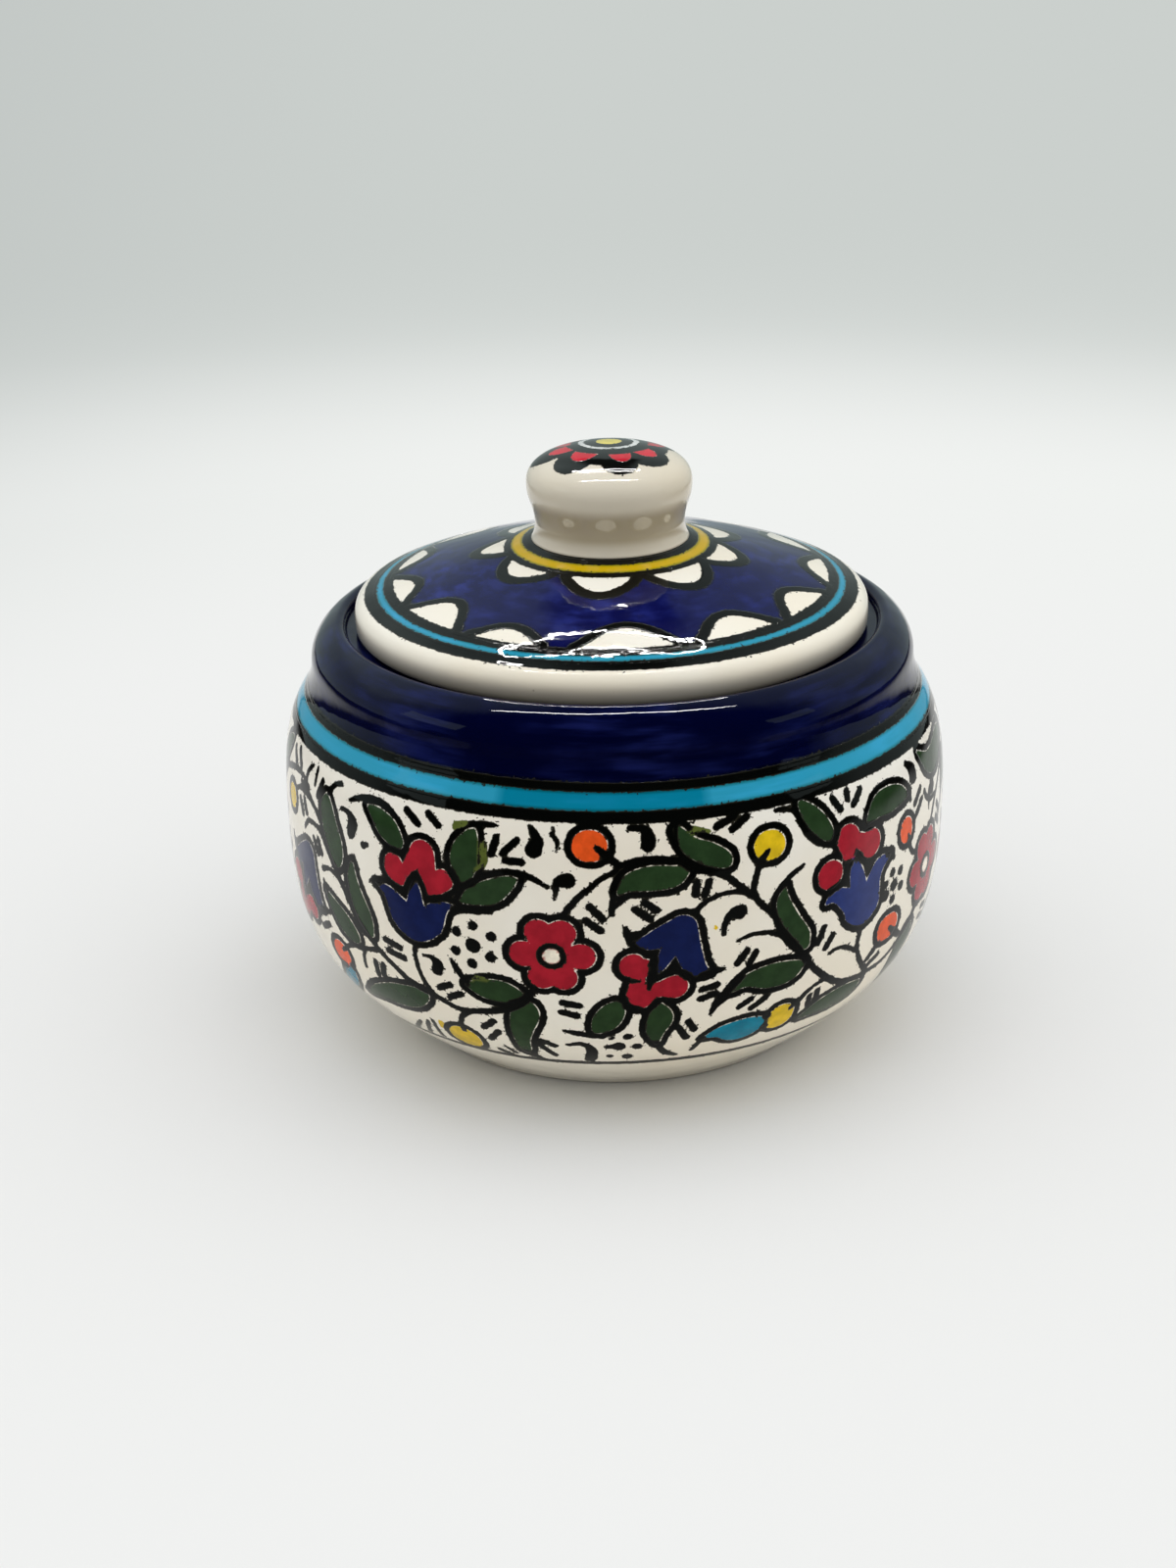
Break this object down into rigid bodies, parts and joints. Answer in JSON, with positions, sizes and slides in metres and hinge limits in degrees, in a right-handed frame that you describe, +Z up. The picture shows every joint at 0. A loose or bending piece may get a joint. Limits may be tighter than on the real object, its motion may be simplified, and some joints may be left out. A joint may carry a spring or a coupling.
{
  "type": "lidded jar",
  "caption": "Squat round glazed earthenware jar with a rolled collar, an inner gallery ledge and a domed drop-in lid with a luted knob.",
  "frame": {"origin": "centre of the foot ring on the table, which is the bottom centre of the bounding box", "axes": "+Z up along the axis the jar is turned about; the jar is a body of revolution, and the front of the painting faces -Y"},
  "size_m": [0.12, 0.12, 0.1051],
  "materials": {
    "painted_glaze": "clear gloss glaze over cream slip, cobalt, turquoise, green and red underglaze painting with black outlines",
    "white_glaze": "greyish cream gloss glaze, painted on top"
  },
  "bodies": {
    "jar": {"jar_body": "painted_glaze"},
    "lid": {"lid": "painted_glaze", "knob": "white_glaze"}
  },
  "joints": [
    {"name": "lid_lift", "type": "slide", "parent": "jar", "child": "lid", "axis": [0, 0, 1], "range_m": [0, 0.06]}
  ]
}
